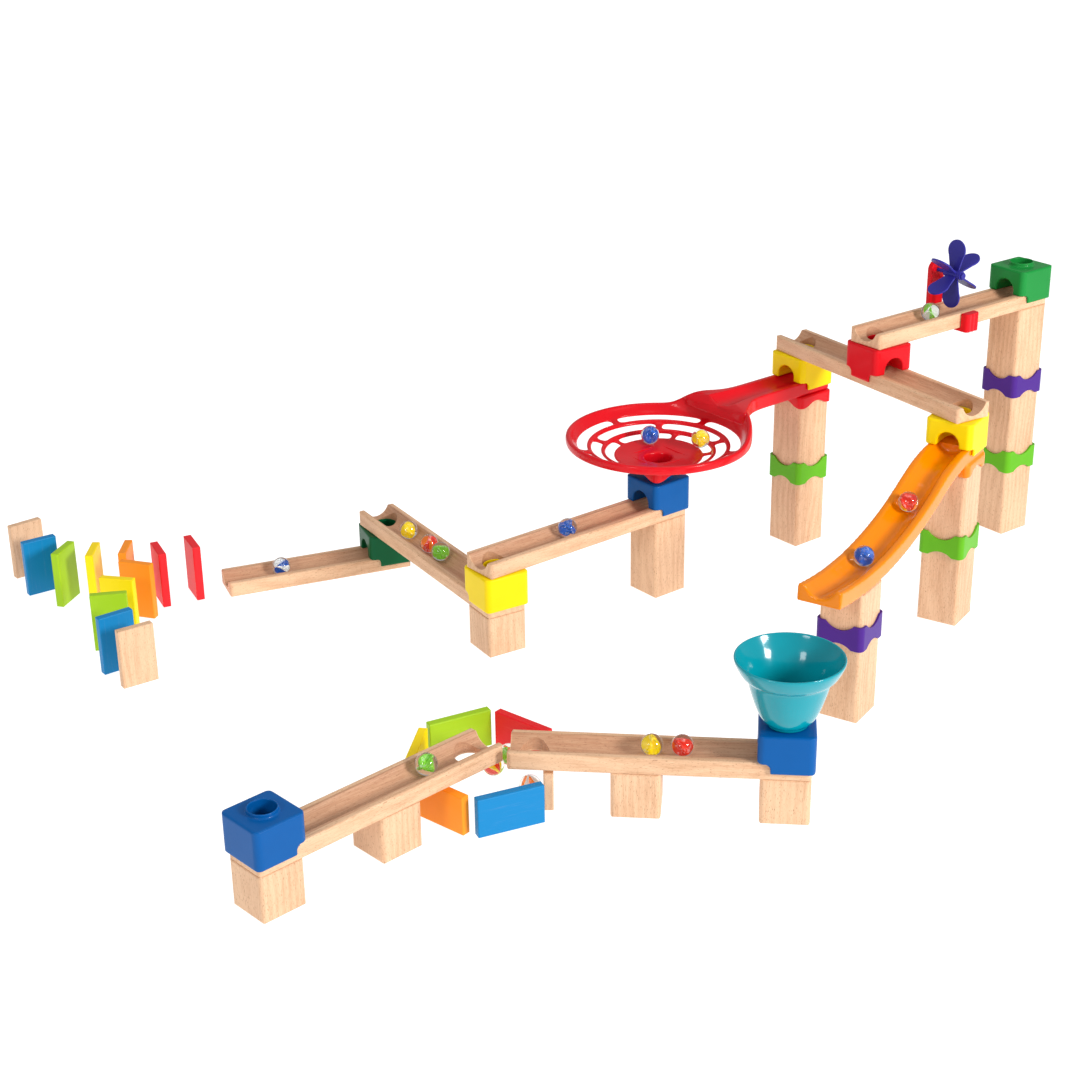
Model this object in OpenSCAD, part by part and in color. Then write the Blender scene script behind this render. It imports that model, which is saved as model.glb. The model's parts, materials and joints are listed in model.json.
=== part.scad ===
// Wooden marble run with falling dominoes.
// Millimetres, +Z up, floor at z = 0, the front is towards -Y.
// Every piece is drawn about its own tower axis or rail, then placed along the chain of rails.

/* [Posts and collars] */
// Side of a square post, and the width of a rail
post_side = 35; // [34:0.5:36]
// Height of a tall post
post_tall = 70; // [68:0.5:73]
// Height of a short post
post_short = 35; // [34:0.5:36]
// Thickness of the web between two stacked pieces
web = 2; // [1.5:0.5:3]

/* [Rails] */
// Height of a rail
rail_height = 13; // [12:0.5:14]
// Tower to tower along a standard rail
pitch_standard = 175; // [170:1:180]
// Tower to tower along a long rail
pitch_long = 198; // [196:1:200]
// Length of the exit rail past its block
exit_length = 147.5; // [140:0.5:155]
// Radius of the rolling groove
groove_radius = 13; // [12.5:0.25:13.5]

/* [Blocks] */
// Side of a block
block_side = 40; // [39:0.5:41]
// Top of a block above the underside of the rail that it sits on
block_rise = 35; // [35:0.5:36]
// Radius of the drop hole through a block
drop_radius = 9.5; // [9.25:0.25:10]

/* [Marbles and dominoes] */
// Diameter of a marble
marble_diameter = 16; // [15:0.25:16]
// Length of a domino
domino_length = 50; // [48:1:50]
// Width of a domino
domino_width = 30; // [28:1:30]
// Thickness of a domino
domino_thickness = 7; // [6:0.5:7]

/* [Bowl, slide, funnel and wheel] */
// Tower to tower along the arm of the bowl
pitch_bowl = 170; // [169:1:172]
// Outer radius of the bowl
bowl_radius = 79; // [78:1:80]
// Tower to tower along the slide
pitch_slide = 195; // [194:1:196]
// Length of the slide past its upper tower
slide_length = 253; // [250:1:256]
// Outer radius of the rim of the funnel
funnel_radius = 38.5; // [38:0.5:39]
// Radius of the paddle wheel
wheel_radius = 29.5; // [28:0.5:29.5]

/* [Hidden] */

BEECH = [0.86, 0.68, 0.49];
RED = [0.85, 0.06, 0.08];
YELLOW = [1.0, 0.80, 0.02];
GREEN = [0.08, 0.42, 0.18];
DARK_GREEN = [0.03, 0.26, 0.14];
LIME = [0.38, 0.68, 0.12];
BLUE = [0.02, 0.28, 0.66];
SKY = [0.0, 0.42, 0.75];
PURPLE = [0.25, 0.11, 0.48];
VIOLET = [0.20, 0.17, 0.58];
ORANGE = [0.96, 0.56, 0.04];
TEAL = [0.0, 0.56, 0.60];
GLASS = [0.8, 0.9, 0.92, 0.45];

eps = 0.5;             // overrun of a cutting solid past the face that it cuts
gap = 0.3;             // play between a block or collar and the wood inside it
post_edge = 3.5;       // rounding of a post's upright edges
block_edge = 5;        // rounding of a block's upright edges
soft_edge = 1.5;       // rounding of the other wooden and moulded edges
rail_end = post_side / 2;        // rail past the axis of its tower
hole_radius = 11;                // hole at a rail's low end
groove_high = rail_height - 5;   // groove floor at the high end of a rail
groove_low = 4;                  // groove floor at the low end of a rail
marble_radius = marble_diameter / 2;
marble_gap = 0.3;                // play between a marble and its groove

// ---- headings of the rails, in degrees, from the high end to the low end
top_way = 216.5;
cross_way = -58.5;
bowl_way = 218;
slide_way = 236.5;
middle_way = 218;
back_way = 121;
exit_way = 201;
funnel_way = 173.5;
front_way = 43;

function way(a, d) = d * [cos(a), sin(a)];

// ---- tower axes, worked out along the chain from the tower under the bowl
bowl_at = [109.6, 175.6];
arm_at = bowl_at - way(bowl_way, pitch_bowl);
slide_at = arm_at + way(cross_way, pitch_long);
cross_at = (arm_at + slide_at) / 2;
top_at = cross_at - way(top_way, pitch_standard);
slide_end_at = slide_at + way(slide_way, pitch_slide);
corner_at = bowl_at + way(middle_way, pitch_standard);
exit_at = corner_at + way(back_way, pitch_long);
funnel_at = [174.7, -198];
funnel_prop_at = funnel_at + way(funnel_way, 103);
front_at = [-172.5, -299.7];
front_prop_at = front_at + way(front_way, 99);

// ---- undersides of the rails
low_level = post_short;
middle_level = post_tall;
arm_level = 2 * post_tall + 2 * web;
cross_level = arm_level + block_rise;
top_level = 3 * post_tall + 2 * web;
slide_end_level = post_tall + web + post_short;

// ---- bowl, heights above the block that carries it
bowl_seat = middle_level + block_rise;
arm_base = arm_level - bowl_seat;
arm_top = arm_base + rail_height;
bowl_rim = 38;                   // top of the rim
bowl_rim_radius = 2;
bowl_wall = 2.4;
bowl_hole = 11.5;
disc_radius = 36;
disc_height = 19.5;
shelf_radius = 69;
shelf_height = 29;
flare_radius = 30;               // fillet between the arm and the rim
flare_meets = bowl_radius - 0.8; // radius at which the fillet runs into the rim
shoulder_radius = bowl_radius - 1.2;
turn_radius = flare_radius + post_side / 2;
flare_x = sqrt(pow(flare_meets + flare_radius, 2) - pow(turn_radius, 2));

// ---- slide: an upper bend, then one long arc that is lowest on the end tower
// The two arcs meet on a line through both centres that falls 12 in 5, so that they are tangent
slide_drop = arm_level - slide_end_level;
slide_radius = 340;
bend_radius = 13 * slide_drop - slide_radius;
slide_start = pitch_slide - 5 * slide_drop;
slide_angle = atan2(5, 12);
slide_end_angle = asin((slide_length - pitch_slide) / slide_radius);
slide_floor = 5;                 // floor of the slide's groove above its underside
slide_path = slide_radius - slide_floor - marble_radius - marble_gap;

// ---- spinner, about its axle
spinner_from_top = pitch_standard / 2;
axle_height = rail_height + wheel_radius;
axle_radius = 1.6;
axle_play = 0.1;

// =====================================================================  outlines

module round_rect(length, width, r) {
    square([length - 2 * r, width], center = true);
    square([length, width - 2 * r], center = true);
    for (x = [-1, 1], y = [-1, 1])
        translate([x * (length / 2 - r), y * (width / 2 - r)]) circle(r, $fn = 48);
}

// A box on z = 0 with rounded upright edges and softer top and bottom edges
module soft_box(length, width, height, upright, edge) {
    intersection() {
        linear_extrude(height) round_rect(length, width, upright);
        rotate([90, 0, 0]) linear_extrude(width + 2, center = true)
            translate([0, height / 2]) round_rect(length, height, edge);
        rotate([90, 0, 90]) linear_extrude(length + 2, center = true)
            translate([0, height / 2]) round_rect(width, height, edge);
    }
}

// Puts a piece on a tower, turned to a heading, at a height
module stand(at, heading, level) {
    translate([at.x, at.y, level]) rotate([0, 0, heading]) children();
}

// ========================================================================  wood

module post(height) {
    soft_box(post_side, post_side, height, post_edge, soft_edge);
}

// A round groove along X whose floor runs from one height to another
module groove(x0, floor0, x1, floor1, r = groove_radius) {
    run = norm([x1 - x0, floor1 - floor0]);
    translate([x0, 0, floor0 + r]) rotate([0, 90 + atan2(floor0 - floor1, x1 - x0), 0])
        cylinder(h = run, r = r, $fn = 96);
}

module rail_blank(x0, x1) {
    translate([(x0 + x1) / 2, 0, 0])
        soft_box(x1 - x0, post_side, rail_height, post_edge, soft_edge);
}

module drop_hole(x) {
    translate([x, 0, -eps]) cylinder(h = rail_height + 2 * eps, r = hole_radius, $fn = 72);
}

// High end on the axis of its own tower, low end with a hole above the next block
module rail(pitch) {
    low_end = pitch + rail_end;
    difference() {
        rail_blank(-rail_end, low_end);
        groove(-drop_radius, groove_high, low_end + eps, groove_low);
        drop_hole(pitch);
    }
}

// Two slopes from the middle, and a hole at each end
module two_way_rail(pitch) {
    half = pitch / 2;
    difference() {
        rail_blank(-half - rail_end, half + rail_end);
        for (side = [0, 180]) rotate([0, 0, side]) {
            groove(-eps, groove_high, half + rail_end + eps, groove_low);
            drop_hole(half);
        }
    }
}

module open_rail(length) {
    difference() {
        rail_blank(-rail_end, length);
        groove(-drop_radius, groove_high, length + eps, groove_low);
    }
}

// ======================================================================  blocks

ring_radius = 10.5;
ring_height = 3.5;
skirt = 5.5;                     // bottom of a block's skirt above the rail's underside
arch_height = 16;                // centre of the arch above the rail's underside

module arch_tunnel(length) {
    rotate([90, 0, 90]) linear_extrude(length) {
        translate([0, arch_height]) circle(drop_radius, $fn = 72);
        translate([-drop_radius, 0]) square([2 * drop_radius, arch_height]);
    }
}

// Clears the skirt away below the arch, with a round inner corner
module skirt_notch() {
    notch = 5;
    corner = 4;
    translate([block_side / 2 - notch, -block_side / 2 - eps, 0])
        cube([notch + eps, block_side + 2 * eps, rail_height]);
    translate([block_side / 2 - notch, 0, rail_height - corner]) rotate([90, 0, 0])
        cylinder(h = block_side + 2 * eps, r = corner, center = true, $fn = 48);
    translate([block_side / 2 - notch - corner, -block_side / 2 - eps, 0])
        cube([corner, block_side + 2 * eps, rail_height - corner]);
}

// A block straddles a rail; its arch opens towards the rail's low end
module block(two_way = false) {
    inside = post_side / 2 + gap;
    back = two_way ? block_side / 2 + eps : inside;
    difference() {
        union() {
            translate([0, 0, skirt])
                soft_box(block_side, block_side, block_rise - skirt, block_edge, soft_edge);
            translate([0, 0, block_rise - eps])
                cylinder(h = ring_height + eps, r = ring_radius, $fn = 72);
        }
        translate([-back, -inside, 0])
            cube([back + block_side / 2 + eps, 2 * inside, rail_height]);
        translate([0, 0, -eps])
            cylinder(h = block_rise + ring_height + 2 * eps, r = drop_radius, $fn = 72);
        arch_tunnel(block_side / 2 + eps);
        skirt_notch();
        if (two_way) rotate([0, 0, 180]) {
            arch_tunnel(block_side / 2 + eps);
            skirt_notch();
        }
    }
    if (two_way) divider();
}

// Wedge under the drop hole that sends marbles one way or the other
module divider() {
    foot = 4;
    top = arch_height + drop_radius;
    intersection() {
        translate([0, 0, rail_height]) rotate([90, 0, 0])
            linear_extrude(2 * drop_radius + 1, center = true)
                polygon([[-foot, 0], [foot, 0], [0.6, top - rail_height - 4],
                         [-0.6, top - rail_height - 4]]);
        translate([0, 0, rail_height]) cylinder(h = top, r = drop_radius + 0.5, $fn = 72);
    }
}

// =====================================================================  collars

collar_side = post_side + 2 * (gap + 1.6);
collar_half = 9;                 // reach of a corner above and below the web
wave_radius = 15;

// Hollow square sleeve whose four edges are waves, low at the middle of each side
module wavy_sleeve(bottom, top, cut_top, cut_bottom) {
    difference() {
        translate([0, 0, bottom]) linear_extrude(top - bottom)
            round_rect(collar_side, collar_side, post_edge + 1);
        translate([0, 0, bottom - eps]) linear_extrude(top - bottom + 2 * eps)
            round_rect(post_side + 2 * gap, post_side + 2 * gap, post_edge);
        for (turn = [0, 90]) rotate([90, 0, turn]) linear_extrude(60, center = true) {
            if (cut_top > 0) translate([0, top + wave_radius - cut_top])
                circle(wave_radius, $fn = 96);
            if (cut_bottom > 0) translate([0, bottom - wave_radius + cut_bottom])
                circle(wave_radius, $fn = 96);
        }
    }
}

module collar() {
    linear_extrude(web)
        round_rect(post_side + 2 * gap + eps, post_side + 2 * gap + eps, post_edge);
    wavy_sleeve(-collar_half, web + collar_half, 5.5, 4);
}

// Lower half of a collar, moulded under the bowl's arm and the slide
module socket() {
    translate([0, 0, -web]) linear_extrude(web)
        round_rect(collar_side, collar_side, post_edge + 1);
    wavy_sleeve(-web - collar_half, -web / 2, 0, 5);
}

// =======================================================================  bowl

// Solid of revolution between two heights of the bowl's inner surface
module turned(points) {
    rotate_extrude($fn = 180) polygon(points);
}

module bowl_shell() {
    turned([
        [bowl_hole, disc_height - 3], [disc_radius, disc_height],
        [shelf_radius, shelf_height], [bowl_radius - 2 * bowl_rim_radius, bowl_rim - 1],
        [bowl_radius, bowl_rim - 1], [bowl_radius - 0.5, bowl_rim - 3.5],
        [shelf_radius + bowl_wall, shelf_height - bowl_wall],
        [disc_radius, disc_height - bowl_wall], [bowl_hole, disc_height - 3 - bowl_wall]
    ]);
    rotate_extrude($fn = 180)
        translate([bowl_radius - bowl_rim_radius, bowl_rim - bowl_rim_radius])
            circle(bowl_rim_radius, $fn = 32);
}

// One ring of slots, with ribs left between them
module slot_ring(inner, outer, first) {
    count = 5;
    rib = 10;                    // degrees
    for (k = [0 : count - 1])
        rotate([0, 0, first + rib / 2 + k * 360 / count])
            rotate_extrude(angle = 360 / count - rib, $fn = 120)
                translate([inner, disc_height - 4]) square([outer - inner, 16]);
}

// Plan of the raised wall: a piece of the rim that flares into the arm on both sides
module shoulder_plan() {
    inside = 50;                 // start of the arm, well inside the rim
    reach = 62;                  // how far along the rim the wall goes to each side
    intersection() {
        circle(shoulder_radius, $fn = 180);
        translate([inside - 15, -reach]) square([bowl_radius, 2 * reach]);
    }
    translate([inside, -post_side / 2]) square([flare_x - inside + 1, post_side]);
    for (side = [0, 1]) mirror([0, side]) difference() {
        translate([inside, post_side / 2 - 1]) square([flare_x - inside - 0.2, flare_radius]);
        translate([flare_x, turn_radius]) circle(flare_radius, $fn = 120);
    }
}

// Raised wall where the arm meets the rim
module shoulder() {
    under = bowl_rim - 2.5;
    backing = 52;                // reach of the thicker wall below it to each side
    difference() {
        union() {
            translate([0, 0, under]) linear_extrude(arm_top - under) shoulder_plan();
            translate([0, 0, shelf_height - 1.5]) linear_extrude(10) intersection() {
                circle(shelf_radius + 2.5, $fn = 180);
                translate([backing - 12, -backing]) square([bowl_radius, 2 * backing]);
            }
        }
        turned([[0, 0], [shelf_radius - 7, 0], [shelf_radius - 7, shelf_height - 1],
                [shelf_radius - 2, arm_top + 1], [0, arm_top + 1]]);
        shoulder_slope(1, 21, 26);
        shoulder_slope(-1, 24, 26);
    }
}

// Takes the shoulder down to the rim on one side of the arm
module shoulder_slope(side, from, fall) {
    drop = arm_top - bowl_rim + 1;
    translate([0, side * from, arm_top]) rotate([-side * atan2(drop, fall), 0, 0])
        translate([0, side * 50 - 50, 0]) cube([120, 100, 30]);
}

// Groove along the arm, then a slightly wider bend that lets the marble out onto the bowl
module arm_channel() {
    high = arm_base + groove_high;
    low = arm_base + 5.5;
    ease = 0.6;
    groove(flare_x - 1, low, pitch_bowl + drop_radius, high);
    translate([flare_x, -turn_radius, low + groove_radius]) rotate([0, 0, 90])
        rotate_extrude(angle = 70, $fn = 144) translate([turn_radius, 0])
            circle(groove_radius + ease, $fn = 72);
}

module bowl() {
    difference() {
        bowl_shell();
        slot_ring(38.5, 44, 62);
        slot_ring(49, 56, 66);
        slot_ring(61, 68, 69);
    }
    difference() {
        union() {
            shoulder();
            translate([0, 0, arm_base]) rail_blank(flare_x - 4, pitch_bowl + rail_end);
            translate([pitch_bowl, 0, arm_base]) socket();
        }
        arm_channel();
    }
    difference() {
        cylinder(h = disc_height - 3, r = bowl_hole + 2, $fn = 72);
        translate([0, 0, -eps]) cylinder(h = disc_height, r = bowl_hole, $fn = 72);
    }
    wavy_sleeve(0, disc_height - bowl_wall + 0.1, 0, 5);
}

// ======================================================================  slide

// Ring between two radii, cut to a wedge from the centre
module arc(inner, outer, wedge) {
    intersection() {
        difference() {
            circle(outer, $fn = 720);
            circle(inner, $fn = 720);
        }
        polygon(wedge);
    }
}

// A bar with the slide's side view: a straight piece, the bend, and the long arc
module slide_bar(width, low, high) {
    far = 60;
    end = 2 * slide_radius * tan(slide_end_angle);
    rotate([90, 0, 0]) linear_extrude(width, center = true) {
        translate([-rail_end, low]) square([rail_end + slide_start, high - low]);
        translate([slide_start, -bend_radius])
            arc(bend_radius + low, bend_radius + high, [[0, 0], [0, 12 * far], [5 * far, 12 * far]]);
        translate([pitch_slide, slide_radius - slide_drop])
            arc(slide_radius - high, slide_radius - low,
                [[0, 0], [-5 * far, -12 * far], [end, -2 * slide_radius]]);
    }
}

// Round groove that follows the slide, cut by turning a circle about each arc's centre
module slide_groove() {
    depth = slide_floor + groove_radius;
    ease = 0.3;                  // the bend's groove is this much tighter, a small step down
    lap = 0.5;
    groove(-drop_radius, groove_high, slide_start, slide_floor);
    translate([slide_start, 0, -bend_radius]) rotate([90, 0, 0])
        rotate([0, 0, 90 - slide_angle])
            rotate_extrude(angle = slide_angle, $fn = 360)
                translate([bend_radius + depth, 0]) circle(groove_radius - ease, $fn = 72);
    translate([pitch_slide, 0, slide_radius - slide_drop]) rotate([90, 0, 0])
        rotate([0, 0, -90 - slide_angle - lap])
            rotate_extrude(angle = slide_angle + slide_end_angle + 2 * lap, $fn = 720)
                translate([slide_radius - depth, 0]) circle(groove_radius, $fn = 72);
}

module slide_track() {
    difference() {
        union() {
            slide_bar(post_side, 0, rail_height);
            socket();
            translate([0, 0, -web]) linear_extrude(web + 1)
                round_rect(post_side, post_side, post_edge);
        }
        slide_groove();
    }
}

// =====================================================================  funnel

module funnel_cup() {
    rim = 51.5;
    wall = 2;
    turned([
        [hole_radius, 0], [15, 0], [15, 3.5], [19, 4.6], [22.8, 9.2], [25.8, 17.5], [28.2, 27.5],
        [30.2, 37.5], [32.6, 38.5], [35.2, 42.5], [funnel_radius, rim - 0.8],
        [funnel_radius - 0.5, rim], [funnel_radius - wall, rim],
        [33.9, 46], [30.7, 40.5], [27.9, 34.5], [25.5, 26.5], [22.9, 17.5],
        [20, 10.8], [16.6, 6.8], [hole_radius, 4]
    ]);
}

// =====================================================================  spinner

clip_length = 16;
clip_wall = 3;
post_offset = post_side / 2 + gap;

module clip() {
    lug = 8;
    ribs = [-4.5, 0, 4.5];
    translate([0, -1, -clip_wall]) linear_extrude(clip_wall - 0.05)
        round_rect(clip_length, post_side + 2 * gap + lug + 6, 2);
    translate([0, post_offset, -clip_wall]) linear_extrude(rail_height + clip_wall) {
        translate([-clip_length / 2, 0]) square([clip_length, lug / 2]);
        for (x = ribs) translate([x, lug / 2]) circle(3.5, $fn = 48);
    }
    translate([0, -post_offset, 0]) rotate([90, 0, 0]) {
        difference() {
            translate([0, 0, -0.01]) linear_extrude(5) {
                translate([-clip_length / 2, -clip_wall])
                    square([clip_length, axle_height + clip_wall]);
                translate([0, axle_height]) circle(clip_length / 2, $fn = 72);
            }
            translate([0, 0, 3.5]) linear_extrude(5) {
                translate([-2, rail_height]) square([4, axle_height - rail_height - 7]);
                translate([0, axle_height - 7]) circle(2, $fn = 32);
            }
            translate([0, axle_height, -1])
                cylinder(h = 8, r = axle_radius, $fn = 48);
        }
    }
}

axle_back = -post_offset - 4.5;
wheel_width = 18.5;

module axle() {
    translate([0, axle_back, axle_height]) rotate([-90, 0, 0]) {
        cylinder(h = wheel_width / 2 + 1 - axle_back, r = axle_radius, $fn = 48);
        translate([0, 0, wheel_width / 2 + 0.4 - axle_back])
            cylinder(h = 1.2, r = axle_radius + 1, $fn = 48);
    }
}

// One blade: a thin tongue that lies along the axle and has a round tip
module blade() {
    tip = wheel_width / 2;
    translate([-0.7, 0, 0]) rotate([90, 0, 90]) linear_extrude(1.4) {
        translate([0, wheel_radius - tip]) circle(tip, $fn = 72);
        polygon([[-4.5, 2.6], [4.5, 2.6], [tip, wheel_radius - tip], [-tip, wheel_radius - tip]]);
    }
}

module wheel() {
    hub = 3.6;
    blades = 6;
    translate([0, 0, axle_height]) rotate([0, -5, 0]) difference() {
        union() {
            rotate([90, 0, 0]) cylinder(h = wheel_width, r = hub, center = true, $fn = 48);
            for (k = [0 : blades - 1]) rotate([0, k * 360 / blades, 0]) blade();
        }
        rotate([90, 0, 0])
            cylinder(h = wheel_width + 2, r = axle_radius + axle_play, center = true, $fn = 48);
    }
}

// =====================================================================  marbles

module ball() {
    sphere(marble_radius, $fn = 48);
}

// A marble in a rail's groove, at a distance from the high tower
module rail_marble(x, length) {
    fall = groove_high - groove_low;
    floor_at = groove_high - fall * (x + drop_radius) / (length + drop_radius);
    translate([x, 0, floor_at + marble_radius + marble_gap]) ball();
}

// A marble on the slide's long arc, at an angle before its lowest point
module slide_marble(angle) {
    translate([pitch_slide, 0, slide_radius - slide_drop]) rotate([0, angle, 0])
        translate([0, 0, -slide_path]) ball();
}

// A marble on the bowl's floor, clear of it by the marble gap
module bowl_marble(r, angle) {
    inner = r < disc_radius;
    rise = inner ? 3 : shelf_height - disc_height;
    run = inner ? disc_radius - bowl_hole : shelf_radius - disc_radius;
    slope = atan2(rise, run);
    lift = (marble_radius + marble_gap) / cos(slope);
    height = disc_height + (r - disc_radius) * tan(slope) + lift;
    rotate([0, 0, angle]) translate([r, 0, height]) ball();
}

// ====================================================================  dominoes

module domino_box(length, height) {
    soft_box(length, domino_thickness, height, 1, 1);
}

module standing(x, y, heading) {
    stand([x, y], heading, 0) domino_box(domino_width, domino_length);
}

module lying(x, y, heading) {
    stand([x, y], heading, 0) domino_box(domino_length, domino_width);
}

// ===================================================================  sub-parts

module top_block() { color(GREEN) stand(top_at, top_way, top_level) block(); }
module cross_block() { color(RED) stand(cross_at, cross_way, cross_level) block(true); }
module bowl_arm_block() { color(YELLOW) stand(arm_at, bowl_way, arm_level) block(); }
module slide_block() { color(YELLOW) stand(slide_at, slide_way, arm_level) block(); }
module bowl_block() { color(BLUE) stand(bowl_at, middle_way, middle_level) block(); }
module corner_block() { color(YELLOW) stand(corner_at, back_way, low_level) block(); }
module exit_block() { color(DARK_GREEN) stand(exit_at, exit_way, 0) block(); }
module funnel_block() { color(BLUE) stand(funnel_at, funnel_way, low_level) block(); }
module front_block() { color(BLUE) stand(front_at, front_way, low_level) block(); }

module top_rail() { color(BEECH) stand(top_at, top_way, top_level) rail(pitch_standard); }
module cross_rail() {
    color(BEECH) stand(cross_at, cross_way, cross_level) two_way_rail(pitch_long);
}
module middle_rail() {
    color(BEECH) stand(bowl_at, middle_way, middle_level) rail(pitch_standard);
}
module back_rail() { color(BEECH) stand(corner_at, back_way, low_level) rail(pitch_long); }
module exit_rail() { color(BEECH) stand(exit_at, exit_way, 0) open_rail(exit_length); }
module funnel_rail() {
    color(BEECH) stand(funnel_at, funnel_way, low_level) rail(pitch_standard);
}
module front_rail() { color(BEECH) stand(front_at, front_way, low_level) rail(pitch_standard); }

module spiral_bowl() { color(RED) stand(bowl_at, bowl_way + 180, bowl_seat) bowl(); }
module slide() { color(ORANGE) stand(slide_at, slide_way, arm_level) slide_track(); }
module funnel() {
    color(TEAL) stand(funnel_at, funnel_way, low_level + block_rise) funnel_cup();
}

module on_spinner() {
    stand(top_at + way(top_way, spinner_from_top), top_way, top_level) children();
}
module spinner_clip() { color(RED) on_spinner() clip(); }
module spinner_axle() { color(RED) on_spinner() axle(); }
module spinner_wheel() { color(VIOLET) on_spinner() wheel(); }

module stack(at, heading, heights) {
    for (k = [0 : len(heights) - 1])
        stand(at, heading, k * (post_tall + web)) post(heights[k]);
}

module top_tower_posts() {
    color(BEECH) stack(top_at, top_way, [post_tall, post_tall, post_tall]);
}
module bowl_arm_tower_posts() { color(BEECH) stack(arm_at, bowl_way, [post_tall, post_tall]); }
module slide_tower_posts() { color(BEECH) stack(slide_at, slide_way, [post_tall, post_tall]); }
module slide_end_posts() {
    color(BEECH) stack(slide_end_at, slide_way, [post_tall, post_short]);
}
module low_posts() {
    color(BEECH) {
        stand(bowl_at, middle_way, 0) post(post_tall);
        stand(corner_at, back_way, 0) post(post_short);
        stand(funnel_at, funnel_way, 0) post(post_short);
        stand(funnel_prop_at, funnel_way, 0) post(post_short);
        stand(front_at, front_way, 0) post(post_short);
        stand(front_prop_at, front_way, 0) post(post_short);
    }
}

module green_collars() {
    color(LIME) {
        stand(top_at, top_way, post_tall) collar();
        stand(arm_at, bowl_way, post_tall) collar();
        stand(slide_at, slide_way, post_tall) collar();
    }
}
module purple_collars() {
    color(PURPLE) {
        stand(top_at, top_way, 2 * post_tall + web) collar();
        stand(slide_end_at, slide_way, post_tall) collar();
    }
}

// Dominoes of the fork: two red ones, then a back row and a front row
module domino_red_1() { color(RED) standing(-293, 178, 114.5); }
module domino_red_2() { color(RED) standing(-320, 165, 114); }
module domino_back_orange() { color(ORANGE) standing(-349, 169, 89); }
module domino_back_yellow() { color(YELLOW) standing(-376.5, 165.5, 89); }
module domino_back_green() { color(LIME) standing(-403, 169.5, 73.5); }
module domino_back_blue() { color(SKY) standing(-428.5, 189.5, 34); }
module domino_back_wood() { color(BEECH) standing(-449.2, 227, 40); }
module domino_front_orange() { color(ORANGE) standing(-334, 136, -18); }
module domino_front_yellow() { color(YELLOW) standing(-344, 105, -12); }
module domino_front_green() { color(LIME) standing(-345.5, 75, 9); }
module domino_front_blue() { color(SKY) standing(-333.5, 37.5, 37); }
module domino_front_wood() { color(BEECH) standing(-313, 12.5, 33.5); }

// Dominoes lying on edge as a pen for the finished marbles
module pen_domino_yellow() { color(YELLOW) lying(-84, -147, 80.5); }
module pen_domino_green() { color(LIME) lying(-54.5, -105.5, 26.5); }
module pen_domino_red() { color(RED) lying(-7, -113.5, -40); }
module pen_domino_orange() { color(ORANGE) lying(-65.5, -204, -40.5); }
module pen_domino_blue() { color(SKY) lying(-16.5, -213.5, 23); }
module pen_domino_wood() { color(BEECH) lying(10.5, -166.5, 90); }

module marble_top_rail() {
    color(GLASS) stand(top_at, top_way, top_level)
        rail_marble(114, pitch_standard + rail_end);
}
module marble_bowl_upper() {
    color(GLASS) stand(bowl_at, bowl_way + 180, bowl_seat) bowl_marble(37.8, -22);
}
module marble_bowl_lower() {
    color(GLASS) stand(bowl_at, bowl_way + 180, bowl_seat) bowl_marble(27, 64);
}
module marble_middle_rail() {
    color(GLASS) stand(bowl_at, middle_way, middle_level)
        rail_marble(100, pitch_standard + rail_end);
}
module back_marble(x) {
    color(GLASS) stand(corner_at, back_way, low_level) rail_marble(x, pitch_long + rail_end);
}
module marble_back_rail_1() { back_marble(94); }
module marble_back_rail_2() { back_marble(114.5); }
module marble_back_rail_3() { back_marble(152); }
module marble_exit_rail() {
    color(GLASS) stand(exit_at, exit_way, 0) rail_marble(97, exit_length);
}
module marble_slide_upper() {
    color(GLASS) stand(slide_at, slide_way, arm_level) slide_marble(18);
}
module marble_slide_lower() {
    color(GLASS) stand(slide_at, slide_way, arm_level) slide_marble(3.6);
}
module marbles_funnel_rail() {
    color(GLASS) stand(funnel_at, funnel_way, low_level)
        for (x = [71.5, 92.7]) rail_marble(x, pitch_standard + rail_end);
}
module marble_front_rail() {
    color(GLASS) stand(front_at, front_way, low_level)
        rail_marble(136, pitch_standard + rail_end);
}
module marbles_pen() {
    color(GLASS) for (at = [[-18, -125], [-29, -140], [-2.5, -170]])
        translate([at.x, at.y, marble_radius]) ball();
}

top_block();
cross_block();
bowl_arm_block();
slide_block();
bowl_block();
corner_block();
exit_block();
funnel_block();
front_block();
top_rail();
cross_rail();
middle_rail();
back_rail();
exit_rail();
funnel_rail();
front_rail();
spiral_bowl();
slide();
funnel();
spinner_clip();
spinner_axle();
spinner_wheel();
top_tower_posts();
bowl_arm_tower_posts();
slide_tower_posts();
slide_end_posts();
low_posts();
green_collars();
purple_collars();
domino_red_1();
domino_red_2();
domino_back_orange();
domino_back_yellow();
domino_back_green();
domino_back_blue();
domino_back_wood();
domino_front_orange();
domino_front_yellow();
domino_front_green();
domino_front_blue();
domino_front_wood();
pen_domino_yellow();
pen_domino_green();
pen_domino_red();
pen_domino_orange();
pen_domino_blue();
pen_domino_wood();
marble_top_rail();
marble_bowl_upper();
marble_bowl_lower();
marble_middle_rail();
marble_back_rail_1();
marble_back_rail_2();
marble_back_rail_3();
marble_exit_rail();
marble_slide_upper();
marble_slide_lower();
marbles_funnel_rail();
marble_front_rail();
marbles_pen();
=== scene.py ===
# %% [markdown]
# # A wooden marble run, ready for its portrait
# The posts, rails, blocks and tracks are already built to size. This lesson loads them as a fixed
# frame, lights them like a small toy in a white studio, and gives every surface a finish of its own.
# Moulded pieces, marbles, bowl and funnel need softer shapes than the frame holds. New pieces here
# stand for those, and the frame's own are only hidden.

# %% Load the frame
import json
from math import atan2, cos, degrees, pi, radians, sin, sqrt

import bmesh
import bpy
from mathutils import Euler, Matrix, Vector


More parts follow.
